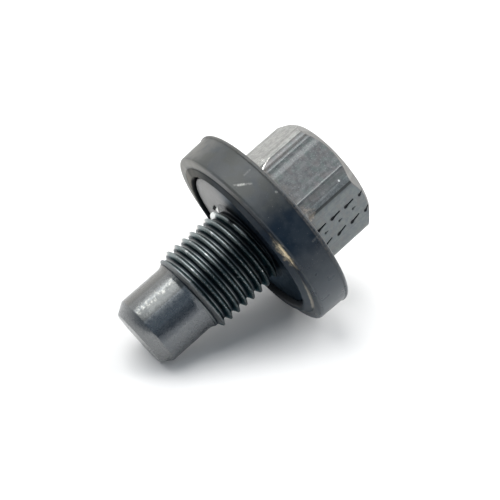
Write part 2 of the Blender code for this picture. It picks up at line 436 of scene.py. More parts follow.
# %% Mesh of the ridge
def swept(tree, names, values, name):
    """Evaluates a node tree with these inputs and returns the result as a plain mesh."""
    carrier = bpy.data.objects.new(name, bpy.data.meshes.new(name))
    bpy.context.collection.objects.link(carrier)
    modifier = carrier.modifiers.new(name, "NODES")
    modifier.node_group = tree
    for key, value in values.items():
        modifier[names[key]] = value
    evaluated = carrier.evaluated_get(bpy.context.evaluated_depsgraph_get())
    mesh = bpy.data.meshes.new_from_object(evaluated)
    carrier.modifiers.remove(modifier)
    bpy.data.objects.remove(carrier)
    mesh.name = name
    return mesh


ridge_mesh = swept(ridge_nodes, ridge_names, ridge_sizes, "thread_ridge")
place("thread_ridge", ridge_mesh, "dark_steel", "plug_body")
over_crests = 2 * max(math.hypot(v.co.x, v.co.y) for v in ridge_mesh.vertices) / MM
print("thread over its crests:", round(over_crests, 2), "mm")

# %% [markdown]
# ## The outside of the rubber ring
# The ring is moulded round the flange's rim. Its back has a rounded edge and a small step, where the two
# halves of the mould met. Its side tapers a little, so that it came out of the mould, and its front is a
# flat shoulder with a crease.

# %% Rows of the ring's outside
RING_COLUMNS = 256
RING_RADIUS = 16.14
RING_BACK = 11.3
BACK_ROUND = 0.45
PARTING = 11.82
SHOULDER_ROUND = 0.4
CREASE = 16.6


def arc(centre, across, up, turns):
    """Points of a section on a round with these half axes, at these angles in degrees."""
    return [(centre[0] + across * math.cos(t), centre[1] + up * math.sin(t)) for t in np.radians(turns)]


outer = [(12.62, RING_BACK), (12.8, RING_BACK), (14.2, RING_BACK), (15.45, RING_BACK)]
outer += arc((RING_RADIUS - BACK_ROUND, RING_BACK + BACK_ROUND), BACK_ROUND, BACK_ROUND, range(-75, 1, 15))
outer += [
    (RING_RADIUS, PARTING), (16.12, PARTING + 0.04), (15.99, PARTING + 0.13), (15.96, PARTING + 0.18),
    (15.955, PARTING + 0.26),
]
outer += [(15.96 - share * 0.17, PARTING + 0.26 + share * 3.9) for share in (0.2, 0.4, 0.6, 0.8, 0.95)]
outer += arc((15.39, CREASE - 0.5), SHOULDER_ROUND, SHOULDER_ROUND + 0.02, range(0, 91, 15))
outer += [
    (15.2, 16.535), (14.8, 16.56), (14.4, 16.585), (14.2, CREASE), (14.1, 16.61), (14.02, 16.635),
    (13.94, 16.69),
]
ring_angles = np.linspace(0, 2 * math.pi, RING_COLUMNS, endpoint=False)
ring_rows = [level_row(ring_angles, radius, height) for radius, height in outer]
print(len(ring_rows), "rows on the ring's outside, widest", 2 * max(radius for radius, height in outer), "mm")

# %% [markdown]
# ## The lip
# A raised lip seals against the pan. Rubber never comes out quite even: the lip here is about half a
# millimetre higher on one side, so its height is a gentle wave of the angle. A straight rise from the
# crease has to meet the round of the crown without a kink, at every angle.

# %% Rows of the lip
BORE_RADIUS = 12.5
CROWN_ROUND = 0.4
LIP_HEIGHT = 0.62
LIP_WAVE = 0.3
HIGH_SIDE = math.radians(170.8)

crown = CREASE + LIP_HEIGHT + LIP_WAVE * np.cos(ring_angles - HIGH_SIDE)
crown_radius = BORE_RADIUS + CROWN_ROUND
crown_height = crown - CROWN_ROUND
foot_radius, foot_height = outer[-1]
run = foot_radius - crown_radius
rise = foot_height - crown_height
meeting = np.arctan2(rise, run) + np.arccos(np.minimum(1, CROWN_ROUND / np.hypot(run, rise)))
meet_radius = crown_radius + CROWN_ROUND * np.cos(meeting)
meet_height = crown_height + CROWN_ROUND * np.sin(meeting)
for share in (0.1, 0.35, 0.65, 0.9):
    radius = foot_radius + share * (meet_radius - foot_radius)
    height = foot_height + share * (meet_height - foot_height)
    ring_rows.append((radius, height))
for share in np.linspace(0, 1, 10):
    turn = meeting + share * (math.pi - meeting)
    ring_rows.append((crown_radius + CROWN_ROUND * np.cos(turn), crown_height + CROWN_ROUND * np.sin(turn)))
print("lip between", round(float(crown.min()), 2), "and", round(float(crown.max()), 2), "mm up")

# %% [markdown]
# ## The inside of the ring
# Inside, the rubber grips the rim in a channel, which nobody sees. A few rows close the section there.

# %% Mesh of the ring
inner = (
    (BORE_RADIUS, 16.5), (BORE_RADIUS, 15.8), (BORE_RADIUS, 15.3), (12.55, 15.22), (14.1, 15.22),
    (14.2, 15.12), (14.2, 12.78), (14.1, 12.68), (12.7, 12.68), (12.62, 12.6), (12.62, 11.36),
)
ring_rows += [level_row(ring_angles, radius, height) for radius, height in inner]
ring_radii = np.array([row[0] for row in ring_rows])
ring_heights = np.array([row[1] for row in ring_rows])
ring_mesh = turned_mesh("ring_rubber", ring_angles, ring_radii, ring_heights, closed_section=True)
place("ring_rubber", ring_mesh, "seal_rubber", "sealing_ring")

# %% [markdown]
# ## A shorthand for finishes
# Every finish here is worked out from the point on the surface, in millimetres, and from its radius, angle
# and height on the plug. The recipe keeps those at hand, and the tone so far, on to which paint lays the
# next colour. So a finish reads as a list of coats.

# %% Recipe of a finish
class Recipe:
    def __init__(self, material):
        material.use_nodes = True
        self.name = material.name
        self.tree = material.node_tree
        self.shader = self.tree.nodes["Principled BSDF"]
        point = self.add("ShaderNodeTexCoord").outputs["Object"]
        in_mm = self.add("ShaderNodeVectorMath", {0: point, "Scale": 1 / MM}, operation="SCALE")
        self.point = in_mm.outputs[0]
        self.x, self.y, self.z = self.add("ShaderNodeSeparateXYZ", {0: self.point}).outputs
        squares = self.plus(self.product(self.x, self.x), self.product(self.y, self.y))
        self.radius = self.calculate("SQRT", squares)
        self.angle = self.calculate("DEGREES", self.calculate("ARCTAN2", self.y, self.x))
        self.tone = None

    def add(self, kind, inputs=None, **settings):
        return add_node(self.tree, kind, inputs, **settings)

    def calculate(self, operation, *values):
        return calculate(self.tree, operation, *values)

    def plus(self, first, second):
        return self.calculate("ADD", first, second)

    def minus(self, first, second):
        return self.calculate("SUBTRACT", first, second)

    def product(self, *values):
        out = values[0]
        for value in values[1:]:
            out = self.calculate("MULTIPLY", out, value)
        return out

    def step(self, value, low, high, start=0, end=1):
        """start below low, end above high and a smooth change between them."""
        inputs = {"Value": value, "From Min": low, "From Max": high, "To Min": start, "To Max": end}
        return self.add("ShaderNodeMapRange", inputs, interpolation_type="SMOOTHSTEP").outputs[0]

    def mix(self, share, first, second):
        return self.add("ShaderNodeMix", {0: share, 6: first, 7: second}, data_type="RGBA").outputs[2]

    def paint(self, colour, *shares):
        """Lays a colour over the tone, by the product of the shares."""
        self.tone = self.mix(self.product(*shares), self.tone, colour)

    def noise(self, size, detail=3, stretch=(1, 1, 1)):
        """Cloudy noise from 0 to 1, whose lumps are about size mm, drawn out along an axis by stretch."""
        scale = tuple(1 / (size * s) for s in stretch)
        place = self.add("ShaderNodeMapping", {0: self.point, "Scale": scale}).outputs[0]
        inputs = {"Vector": place, "Scale": 1, "Detail": detail, "Roughness": 0.55}
        return self.add("ShaderNodeTexNoise", inputs).outputs[0]

    def bump(self, *layers):
        """Bumps in a chain; each layer is a height from 0 to 1, a depth in mm and a strength."""
        inputs = {}
        for height, depth, strength in layers:
            inputs.update({"Distance": depth * MM, "Strength": strength, "Height": height})
            inputs["Normal"] = self.add("ShaderNodeBump", inputs).outputs[0]
        self.set("Normal", inputs["Normal"])

    def set(self, name, value):
        feed(self.shader.inputs[name], value)

    def report(self, what):
        print(self.name, "with its", what, "has", len(self.tree.nodes), "nodes")

# %% [markdown]
# ## Places on the plug
# Wear, dirt and painted light and shade sit in places: on one side, along a line, in a ragged patch. A mask
# says from 0 to 1 how much a point belongs to such a place. Masks that are worked out from the point need no
# picture, stay put in any view and can be multiplied with each other.

# %% Masks for a finish
class Finish(Recipe):
    def band(self, value, centre, half_width, soft):
        """1 within half_width of the centre, 0 beyond a soft edge."""
        away = self.calculate("ABSOLUTE", self.minus(value, centre))
        return self.step(away, half_width, half_width + soft, 1, 0)

    def reach(self, angle):
        """How far the point lies in this direction from the axis, in mm."""
        a = math.radians(angle)
        return self.plus(self.product(self.x, math.cos(a)), self.product(self.y, math.sin(a)))

    def towards(self, angle):
        """Cosine of the angle, seen along the axis, between the point and this direction."""
        return self.calculate("DIVIDE", self.reach(angle), self.radius)

    def side(self, angle, low, high, start=0, end=1):
        """A step on that cosine, so the mask covers one side of the plug."""
        return self.step(self.towards(angle), low, high, start, end)

    def away_from(self, angle, arm):
        """Distance in mm round a cylinder of radius arm, measured from this angle."""
        turn = self.calculate("WRAP", self.minus(self.angle, angle), 180, -180)
        return self.product(turn, arm * math.pi / 180)

    def inverse(self, mask):
        return self.step(mask, 0, 1, 1, 0)

    def far_side_shade(self):
        """1 on the far side and 0.3 on the near one; it weights painted shade in the hollows."""
        return self.side(60, 0.15, 0.45, 0.3, 1)

    def stroke(self, arm, first, last, half_width, soft):
        """A scratch on a cylinder of radius arm, from one (angle, height) to another."""
        a = self.away_from(first[0], arm)
        b = self.minus(self.z, first[1])
        run = (last[0] - first[0]) * arm * math.pi / 180
        rise = last[1] - first[1]
        length = math.hypot(run, rise)
        along = self.plus(self.product(a, run / length), self.product(b, rise / length))
        aside = self.minus(self.product(a, rise / length), self.product(b, run / length))
        on_length = self.band(along, length / 2, length / 2 - 0.1, 0.2)
        return self.product(self.band(aside, 0, half_width, soft), on_length)

    def spot(self, angle, place, half_length, half_width, arm, ragged, size=0.6, across=None):
        """A ragged patch on a cylinder of radius arm; place is a height, or a value of across if given."""
        up = self.minus(self.z if across is None else across, place)
        a = self.calculate("DIVIDE", self.away_from(angle, arm), half_length)
        b = self.calculate("DIVIDE", up, half_width)
        away = self.calculate("SQRT", self.plus(self.product(a, a), self.product(b, b)))
        fringe = self.product(self.minus(self.noise(size), 0.5), 2 * ragged)
        return self.step(self.plus(away, fringe), 0.55, 1.15, 1, 0)

# %% [markdown]
# ## Phosphated steel
# The plug is forged, turned and phosphated: a dark grey crystal coating that looks mottled, takes oil and
# rubs through to brighter metal. Noises of several sizes set how dark the coating is, which way its grey
# leans, and where it is rubbed through.

# %% Tone of the coating
BARE_METAL_AND_HIGHLIGHT = (0.46, 0.48, 0.465)
DARK_LINE_SHADE = (0.05, 0.048, 0.045)
# nearly black: painted shade in hollows, and the dark notch
SHADE_AND_GRIME = (0.012, 0.015, 0.018)

steel = bpy.data.materials.new("phosphated_steel")
look = Finish(steel)
mottle = look.noise(0.7, 5)
tint = look.noise(1.3, 3)
speck = look.noise(0.2, 2)
drawn = look.noise(0.22, 3, stretch=(1, 1, 14))

look.tone = look.mix(look.step(mottle, 0.32, 0.68), (0.093, 0.0965, 0.099), (0.148, 0.152, 0.152))
look.paint((0.107, 0.134, 0.126), look.step(tint, 0.5, 0.62, 0, 0.5))
look.paint((0.136, 0.121, 0.118), look.step(tint, 0.36, 0.48, 0.4, 0))
look.paint((0.07, 0.07, 0.07), look.step(drawn, 0.35, 0.62, 0.2, 0))
look.paint(BARE_METAL_AND_HIGHLIGHT, look.step(speck, 0.58, 0.7, 0, 0.22))
look.report("coating")

# %% [markdown]
# ## Two flats that differ
# The nicked flat has its own smoother, bluer tone, which is painted shade for the way that flat faces the
# light, and the flat two along from it is painted pale, a painted highlight with rubbed pale specks in it. So
# the material has to know which flat a point is on. The angle tells, in steps of 60 degrees, and the rest
# of the angle gives the distance from the middle of that flat.

# %% Tone of the flats
sector = look.calculate("FLOOR", look.calculate("DIVIDE", look.angle, 60))
flat = look.calculate("MULTIPLY_ADD", sector, 60, 30)
off_middle = look.calculate("RADIANS", look.minus(look.angle, flat))
across = look.product(look.calculate("TANGENT", off_middle), HALF_FLAT)
on_sides = look.product(look.step(look.z, 0.02, 0.06), look.step(look.z, 11.3, 11.8, 1, 0))
shaded_flat = look.product(look.band(flat, -150, 5, 1), on_sides)
lit_and_worn_flat = look.product(look.band(flat, -30, 5, 1), on_sides)

# painted shade: the nicked flat gets its own smoother, bluer tone
painted_shade_tone = look.mix(look.step(mottle, 0.35, 0.65), (0.126, 0.14, 0.15), (0.156, 0.174, 0.172))
painted_shade_tone = look.mix(look.step(tint, 0.36, 0.46, 0.6, 0), painted_shade_tone, (0.142, 0.144, 0.144))
look.paint(painted_shade_tone, shaded_flat, 0.8)
# painted highlight: the flat two along is painted pale, with rubbed pale specks
lit_and_worn_tone = look.mix(look.step(mottle, 0.38, 0.64), (0.205, 0.202, 0.19), (0.37, 0.365, 0.345))
lit_and_worn_tone = look.mix(look.step(speck, 0.56, 0.68, 0, 0.45), lit_and_worn_tone, (0.62, 0.61, 0.58))
look.paint(lit_and_worn_tone, lit_and_worn_flat, 0.85)
look.report("flats")

# %% [markdown]
# ## Drawn lines with painted light and shade, and the chamfer
# The die has drawn faint lines along the flats, too fine for the relief alone to show in soft light, so
# their light and shade are painted: each is a narrow band across the flat, broken up by fine noise, a bright
# band being a painted highlight and a dark one painted shade. Bands near the corners are painted light and
# shade where the rounds turn. The chamfer is a little brighter.

# %% Painted highlights and shade along the flats
broken = look.step(speck, 0.35, 0.6, 0.5, 1)
rough_flats = look.minus(on_sides, shaded_flat)
# bright bands are painted highlights, dark bands painted shade
for place_across, half_width, soft, share, colour in (
    (2.65, 0.2, 0.35, 0.26, BARE_METAL_AND_HIGHLIGHT), (3.75, 0.05, 0.13, 0.22, BARE_METAL_AND_HIGHLIGHT),
    (-2.66, 0.04, 0.09, 0.38, BARE_METAL_AND_HIGHLIGHT), (-1.4, 0.1, 0.3, 0.07, BARE_METAL_AND_HIGHLIGHT),
    (3.35, 0.04, 0.15, 0.25, DARK_LINE_SHADE), (4.28, 0.13, 0.13, 0.85, DARK_LINE_SHADE),
    (-2.93, 0.03, 0.1, 0.4, DARK_LINE_SHADE), (-3.42, 0.15, 0.3, 0.35, DARK_LINE_SHADE),
    (-4.75, 0.35, 0.25, 0.45, BARE_METAL_AND_HIGHLIGHT), (-5.45, 0.14, 0.14, 0.85, DARK_LINE_SHADE),
    (5.2, 0.25, 0.2, 0.25, DARK_LINE_SHADE),
):
    look.paint(colour, look.band(across, place_across, half_width, soft), broken, share, rough_flats)
# painted shade along the corner of the nicked flat
look.paint(DARK_LINE_SHADE, look.band(across, 5.3, 0.3, 0.15), shaded_flat, 0.7)
look.paint((0.2, 0.185, 0.17), look.spot(-176.5, 10.1, 1.3, 1.2, 10.4, ragged=0.4), 0.6)

off_cone = look.minus(look.z, look.minus(look.radius, END_RADIUS))
look.paint((0.17, 0.165, 0.157), look.step(off_cone, 0, 0.14, 1, 0), 0.8)
look.report("lines")

# %% [markdown]
# ## Wear and dirt at the foot of the head, and a painted glint
# Where the flats run into the flange, tan dirt has dried in one corner, and the coating is rubbed through
# in dots and short bright lines. Ragged spots and strokes put each where it belongs. Lower on one flat a
# small painted highlight, a glint, is painted in.

# %% Foot of the head
look.paint((0.1, 0.085, 0.07), look.step(look.z, 8.6, 10.2), look.step(mottle, 0.4, 0.6), 0.5)
tan = look.spot(-118.3, 9.4, 1, 1.1, 9.8, ragged=1.2, size=0.5)
look.paint((0.4, 0.345, 0.285), tan, look.step(speck, 0.3, 0.55, 0.3, 1), 0.6)
pale = look.spot(-118.3, 10, 0.55, 0.5, 9.8, ragged=0.9, size=0.4)
look.paint((0.66, 0.62, 0.56), pale, look.step(speck, 0.3, 0.5, 0.4, 1), 0.75)
for first, last in (
    ((-58.8, 7.6), (-61.3, 9)), ((-61.3, 9), (-64, 9.9)), ((-55.5, 8.3), (-55, 8.7)),
    ((-51, 8.2), (-50.5, 8.6)),
):
    bright = look.stroke(10.4, first, last, 0.02, 0.14)
    look.paint((0.9, 0.88, 0.83), bright, look.step(speck, 0.38, 0.55, 0.1, 0.9))
rubbed = look.spot(-50, 8.8, 2.3, 0.8, 9.7, ragged=0.3)
look.paint((0.76, 0.74, 0.7), rubbed, look.step(speck, 0.56, 0.64), 0.65)
# a painted highlight: a small glint painted on the flat
painted_glint = look.spot(-114, 2.77, 0.17, 0.15, 10.1, ragged=0.3, size=0.3)
look.paint((0.85, 0.85, 0.82), painted_glint, 0.8)
look.report("worn foot")

# %% [markdown]
# ## The face inside the lip, with painted shade
# One side of the face inside the ring is painted dark, a painted reflection of the shadowed table under the
# plug, and the same mask darkens and tints its reflection through the Specular Tint. The face's edge by the
# lip is painted dark as painted shade. Near the thread there is a dark ragged notch with a bright fleck
# beside it.

# %% Finish of the face
on_pilot = look.step(look.z, 28.95, 29.2)
in_front = look.step(look.z, 14, 14.5)
face = look.product(in_front, look.minus(1, on_pilot))
face_tone = look.mix(look.step(mottle, 0.35, 0.65), (0.115, 0.116, 0.115), (0.15, 0.149, 0.145))
look.paint(face_tone, face)
# painted dark reflection on one side of the face
face_dark_reflection = look.product(face, look.side(-160, -0.55, 0.15))
look.paint((0.023, 0.036, 0.052), face_dark_reflection)
# painted shade along the face's edge by the lip, deepest on the far side
look.paint(SHADE_AND_GRIME, face, look.step(look.radius, 11.1, 11.9), look.far_side_shade())

ragged_reach = look.plus(look.reach(-9), look.product(look.minus(look.noise(0.7), 0.5), 0.6))
sideways_reach = look.reach(81)
notch = look.product(look.band(ragged_reach, 7.5, 0.2, 0.2), look.band(sideways_reach, 3, 1.1, 1.1))
look.paint(SHADE_AND_GRIME, face, notch)
fleck = look.band(ragged_reach, 6.85, 0.15, 0.2)
look.paint((0.85, 0.86, 0.84), face, fleck, look.band(sideways_reach, 2, 0.8, 0.8))

# the painted dark reflection also darkens the Specular Tint
glare = look.mix(look.product(face_dark_reflection, 0.9), (1, 1, 1), (0.38, 0.46, 0.54))
glare = look.mix(look.product(face, notch), glare, (0, 0, 0))
look.set("Specular Tint", glare)
look.report("face")

# %% [markdown]
# ## Core and pilot
# The core is seen only as the root between two crests, so its colour follows the helix: the height less
# the thread's rise at that angle, as a fraction of the pitch. The core is painted dark, painted shade between
# the crests, with a thin painted highlight along the root. The pilot is smooth, and its tone changes in a
# few bands of angle, which are painted reflections, lighter and darker, with a line of bright specks that is
# a painted highlight and painted shade on one side.

# %% Finish of the shank
climbed = look.calculate("DIVIDE", look.minus(look.z, START_HEIGHT), PITCH)
turned = look.calculate("DIVIDE", look.minus(look.angle, START_ANGLE), 360)
root = look.band(look.calculate("FRACT", look.minus(climbed, turned)), 0.6, 0.05, 0.06)
on_shank = look.product(look.step(look.radius, 7.3, 7), face)
# painted shade on the core, with a painted highlight band along the root
look.paint(look.mix(root, SHADE_AND_GRIME, (0.13, 0.14, 0.14)), on_shank)

pilot = look.mix(look.step(tint, 0.35, 0.65), (0.133, 0.144, 0.15), (0.15, 0.159, 0.161))
# painted reflections: warmer towards -15 degrees, and painted shade, darker and bluer, towards -165
pilot = look.mix(look.side(-15, 0.5, 0.95), pilot, (0.145, 0.143, 0.138))
pilot = look.mix(look.side(-165, 0.2, 0.9, 0, 0.35), pilot, (0.12, 0.123, 0.135))
# bands of angle painted lighter and darker: painted reflections on the pilot
for angle, half_width, soft, share, colour in (
    (-99, 8, 6, 0.7, (0.26, 0.27, 0.275)), (-124, 5, 5, 0.5, (0.06, 0.068, 0.08)),
    (-80, 7.5, 3, 0.72, (0.078, 0.08, 0.077)), (-58, 4, 4, 0.6, (0.22, 0.222, 0.22)),
):
    reflection_band = look.product(look.band(look.angle, angle, half_width, soft), share)
    pilot = look.mix(reflection_band, pilot, colour)
pilot = look.mix(look.step(look.z, 36.7, 36.95), pilot, (0.165, 0.17, 0.172))
crumbled = look.step(look.noise(0.36, 4), 0.4, 0.72)
below_tip = look.step(look.z, 36.6, 36.8, 1, 0)
# a painted highlight: a line of bright specks
highlight_specks = look.product(look.band(look.angle, -70, 4, 5), crumbled, below_tip, 0.8)
pilot = look.mix(highlight_specks, pilot, (0.32, 0.32, 0.3))
look.paint(pilot, on_pilot)
look.report("shank")

# %% [markdown]
# ## Dirt in the nicks, gloss and grain
# The attribute from the mesh darkens the nicks. The coating's crystals scatter light, so the head is half
# rough with a fine bump, and the pilot is smoother. Bumps are only texture: visible forms are in the mesh.

# %% Gloss and grain of the plug
nick = look.add("ShaderNodeAttribute", attribute_name="nick")
# the nicks are painted nearly black
look.paint((0.006, 0.007, 0.009), look.step(nick.outputs["Fac"], 0.12, 0.45, 0, 0.96))
look.set("Base Color", look.tone)
look.set("Metallic", 0.85)
smoother = look.product(on_pilot, look.step(speck, 0.4, 0.65, -0.16, -0.1))
look.set("Roughness", look.plus(look.step(mottle, 0.3, 0.7, 0.36, 0.46), smoother))

weaker = look.step(on_pilot, 0, 1, 1, 0.3)
grain = look.product(look.noise(0.12, 3), look.step(on_pilot, 0, 1, 1, 0.05))
along_grain = look.product(drawn, weaker)
look.bump((grain, 0.02, 0.5), (along_grain, 0.012, 0.3), (look.product(mottle, weaker), 0.04, 0.2))
plug_mesh.materials.append(steel)
look.report("nicks, gloss and grain")

# %% [markdown]
# ## The thread's finish
# The grooves are painted nearly black, for oil and painted shade between the ridges, and the crests are
# lighter, so here the colour follows the radius. On the side towards the light the crests carry a painted
# highlight, their pale colour reaches further down the flanks and some tips are painted pale; away from it
# the crests are a dark teal painted reflection, and near the ring painted shade. The last flank runs out on
# to the pilot and is as clean as the pilot.

# %% Grooves and crests
OIL_AND_SHADE_BLACK = (0.007, 0.017, 0.021)

look = Finish(thread_material)
rub = look.noise(0.5, 3)
fine = look.noise(0.2, 2)
thread_lit_side = look.side(-50, 0.55, 0.85)
# painted reflection and highlight: dark teal crests away from the light, paler ones towards it
crest = look.mix(thread_lit_side, (0.042, 0.064, 0.071), (0.175, 0.202, 0.202))
# painted highlights: pale crest tips towards 15 and -6 degrees
crest = look.mix(look.side(15, 0.6, 0.9, 0, 0.7), crest, (0.55, 0.55, 0.53))
crest = look.mix(look.step(fine, 0.5, 0.68, 0, 0.6), crest, (0.42, 0.42, 0.4))
crest = look.mix(look.side(-6, 0.94, 0.99, 0, 0.8), crest, (0.95, 0.89, 0.86))
# painted shade on the crests near the ring, away from the light
in_shade = look.product(look.step(look.z, 17.5, 21.5, 0.6, 0), look.minus(1, thread_lit_side))
crest = look.mix(in_shade, crest, OIL_AND_SHADE_BLACK)

# painted light: on the lit side the pale crest colour reaches further down the flanks
up_the_flank = look.plus(look.radius, look.product(look.minus(rub, 0.5), 0.25))
above_dark_groove = look.minus(up_the_flank, look.step(thread_lit_side, 0, 1, 6.6, 6.38))
look.tone = look.mix(look.step(above_dark_groove, 0, 0.2), OIL_AND_SHADE_BLACK, crest)
climb = look.minus(look.z, look.calculate("DIVIDE", look.angle, 240))
run_out = look.product(look.step(climb, 28.5, 28.75), look.side(-100, -0.3, 0.2))
look.paint((0.15, 0.155, 0.157), run_out, 0.85)
look.report("crests")

# %% [markdown]
# ## Painted highlights, chips and oil on the thread
# Bright spots along the crests are painted highlights of their sparkle, with small chips in the coating
# among them; the two largest, painted highlights of the shiny first crest, lie where the thread starts,
# next to a dark notch. A film of oil tints what the grooves mirror, so it sits in the Specular Tint.

# %% Painted highlights, chips and gloss of the thread
# painted highlights of the crests' sparkle, with some chips in the coating among them
for angle, z, half_length, half_width, share in (
    (-19, 18.4, 2, 0.6, 1), (-36, 17.6, 0.45, 0.36, 1), (-143.5, 19, 0.3, 0.14, 0.5),
    (-170.5, 18.35, 0.4, 0.16, 0.6), (-62, 21, 0.35, 0.28, 0.45), (-57, 25.4, 0.35, 0.28, 0.45),
    (-128, 22.4, 0.25, 0.2, 0.35), (-48, 23.9, 0.25, 0.2, 0.35), (-80, 23.75, 0.3, 0.2, 0.35),
    (-83, 26.7, 0.35, 0.2, 0.35), (-90, 28.1, 0.45, 0.2, 0.4), (-132.5, 20.6, 0.16, 0.12, 0.4),
):
    crest_spark = look.spot(angle, z, half_length, half_width, CREST_RADIUS - 0.03, ragged=0.6, size=0.3)
    look.paint((0.8, 0.8, 0.78), crest_spark, share)
look.paint((0.005, 0.006, 0.008), look.spot(-68.5, 17.7, 0.75, 0.5, CREST_RADIUS - 0.03, ragged=0.3))
look.set("Base Color", look.tone)
look.set("Metallic", 0.85)

in_groove = look.step(look.radius, 6.78, 6.5)
oil = look.product(in_groove, look.side(-130, -0.3, 0.5), look.inverse(run_out))
look.set("Specular Tint", look.mix(oil, (0.96, 0.99, 1), (0.45, 0.88, 1)))
look.set("Roughness", look.step(fine, 0.35, 0.65, 0.34, 0.5))
look.bump((fine, 0.03, 0.5), (rub, 0.03, 0.3))
look.report("chips and gloss")

# %% [markdown]
# ## Rubber
# Moulded rubber is matt and nearly black. Its tone carries painted light: a grey painted sheen on the
# side towards the light and a dark blue painted reflection on the other, pale painted highlights towards
# -8 and 3 degrees and a bluish painted reflection towards -175. Wide noise gives the bloom of old rubber,
# and fine noise the specks of dust.

# %% Tone of the rubber
rubber = bpy.data.materials.new("moulded_rubber")
look = Finish(rubber)
bloom = look.noise(2.6, 3)
cloud = look.noise(3.6, 2)
dust = look.noise(0.35, 4)
fine = look.noise(0.16, 2)
ring_lit_side = look.step(look.plus(look.towards(-35), look.product(bloom, 0.4)), 0.46, 0.88)
# painted sheen on the side towards the light, painted dark blue reflection on the other
look.tone = look.mix(ring_lit_side, (0.003, 0.009, 0.018), (0.048, 0.051, 0.052))
# painted reflection: bluish towards -175 degrees
look.paint((0.036, 0.047, 0.057), look.side(-175, 0.72, 0.98, 0, 0.8))
# painted highlights: paler towards -8 and 3 degrees
look.paint((0.125, 0.117, 0.098), look.side(-8, 0.72, 0.95, 0, 0.6))
look.paint((0.2, 0.186, 0.16), look.side(3, 0.9, 0.99, 0, 0.7))
less_in_shade = look.step(ring_lit_side, 0, 1, 0.55, 1)
look.paint((0.034, 0.042, 0.05), look.step(bloom, 0.46, 0.66, 0, 0.55), less_in_shade)
# a greenish cloud, stronger on the side towards the light
look.paint((0.04, 0.041, 0.034), look.step(cloud, 0.46, 0.6), ring_lit_side, 0.6)
look.paint((0.15, 0.15, 0.14), look.step(dust, 0.6, 0.75, 0, 0.12))
look.paint((0.3, 0.3, 0.28), look.step(fine, 0.68, 0.76, 0, 0.3))
look.report("tone")

# %% [markdown]
# ## Dirt and a painted highlight on the ring
# The back edge is rubbed pale, and the shoulder carries a pale painted highlight on the side that faces the
# light. A tan patch of dried dirt sits on the front of the ring, with a crumbly core and a thin trail in the
# crease beside it.

# %% Pale edges, a painted highlight and dried dirt
back_edge = look.product(look.step(look.z, 12.1, 11.9), look.step(dust, 0.35, 0.6))
look.paint((0.12, 0.105, 0.09), back_edge, look.side(-95, 0.5, 0.95, 0.12, 0.35))
front = look.step(look.z, 16.3, 16.45)
# painted highlight on the shoulder, on the side towards 0 degrees
lit_shoulder = look.product(front, look.step(look.radius, 14.3, 14.6))
look.paint((0.175, 0.168, 0.145), lit_shoulder, look.side(0, 0.4, 0.85), 0.75)

patch = look.spot(-120.5, 14.42, 3, 1.05, 14.3, ragged=0.8, size=0.7, across=look.radius)
look.paint((0.3, 0.255, 0.18), patch, front, look.step(fine, 0.35, 0.6, 0.35, 0.8))
core = look.spot(-121, 14.5, 2.1, 0.65, 14.3, ragged=0.7, size=0.6, across=look.radius)
look.paint((0.72, 0.6, 0.4), core, front, look.step(fine, 0.3, 0.55, 0.5, 0.95))
trail = look.spot(-162, 14, 5, 0.27, 14.2, ragged=0.3, size=0.8, across=look.radius)
look.paint((0.42, 0.38, 0.31), trail, front, 0.55)
look.report("dirt")

# %% [markdown]
# ## Scratches and dark lines on the ring
# A few pale scratches cross the side of the ring. The crease and the edge inside the lip are painted
# darker, as painted shade, and the lip is painted dark on the near side, a painted dark reflection.

# %% Scratches, lip and crease
SIDE_RADIUS = 15.9
for first, last, half_width, share in (
    ((-81.6, 13.8), (-75.2, 15.8), 0.03, 0.22), ((-79, 14.6), (-76.8, 15.4), 0.05, 0.5),
    ((-75, 12.5), (-75.2, 13.8), 0.03, 0.12), ((-123.4, 11.9), (-123.8, 12.9), 0.04, 0.08),
    ((-93, 12.1), (-92.9, 12.4), 0.05, 0.35),
):
    scratch = look.stroke(SIDE_RADIUS, first, last, half_width, 0.22)
    look.paint((0.6, 0.59, 0.54), scratch, look.step(fine, 0.35, 0.55, 0.3, 1), share)
lip = look.product(front, look.step(look.radius, 14.25, 14.05))
# painted dark reflection on the near side of the lip
near_lip_reflection = look.product(look.side(-100, 0.4, 0.85, 0, 0.4), look.inverse(patch))
look.paint((0.006, 0.012, 0.022), lip, near_lip_reflection)
# painted shade in the crease, on the near side
crease = look.product(front, look.band(look.radius, 14.12, 0.08, 0.2))
near_side = look.side(-95, 0.2, 0.8, 0.15, 0.75)
look.paint((0.006, 0.008, 0.011), crease, near_side, look.inverse(core))
# painted shade on the edge inside the lip
inside = look.product(look.step(look.radius, 12.75, 12.6), look.step(look.z, 14, 15))
look.paint((0.008, 0.01, 0.013), inside, look.far_side_shade())
look.set("Base Color", look.tone)
look.report("scratches")

# %% [markdown]
# ## Gloss of the rubber
# Rubber has a soft sheen, and the lip is duller. The bumps stay very shallow, because moulded rubber is
# smooth; the mottling is in its tone.

# %% Gloss and grain of the rubber
sheen = look.step(ring_lit_side, 0, 1, 0.36, 0.42)
dull_lip = look.product(lip, look.side(-175, 0.3, 0.8, 0.26, 0.05))
look.set("Specular IOR Level", look.minus(sheen, dull_lip))
look.set("Specular Tint", (0.97, 1, 1))
rough = look.step(bloom, 0.35, 0.65, 0.27, 0.33)
rough = look.plus(rough, look.side(-35, 0.05, 0.5, 0, 0.17))
look.set("Roughness", look.plus(rough, look.product(lip, 0.3)))
look.bump((fine, 0.01, 0.05), (dust, 0.02, 0.04), (bloom, 0.06, 0.2))
ring_mesh.materials.append(rubber)
look.report("gloss and grain")

# %% [markdown]
# ## Camera
# The photograph looks at the plug lying down: its shank points to the lower left and a little towards the
# camera. Here the plug keeps standing on its end, as the frame has it, and the camera is turned instead.
# Its place, turn and lens come from a fit of the plug's outline to the photograph.

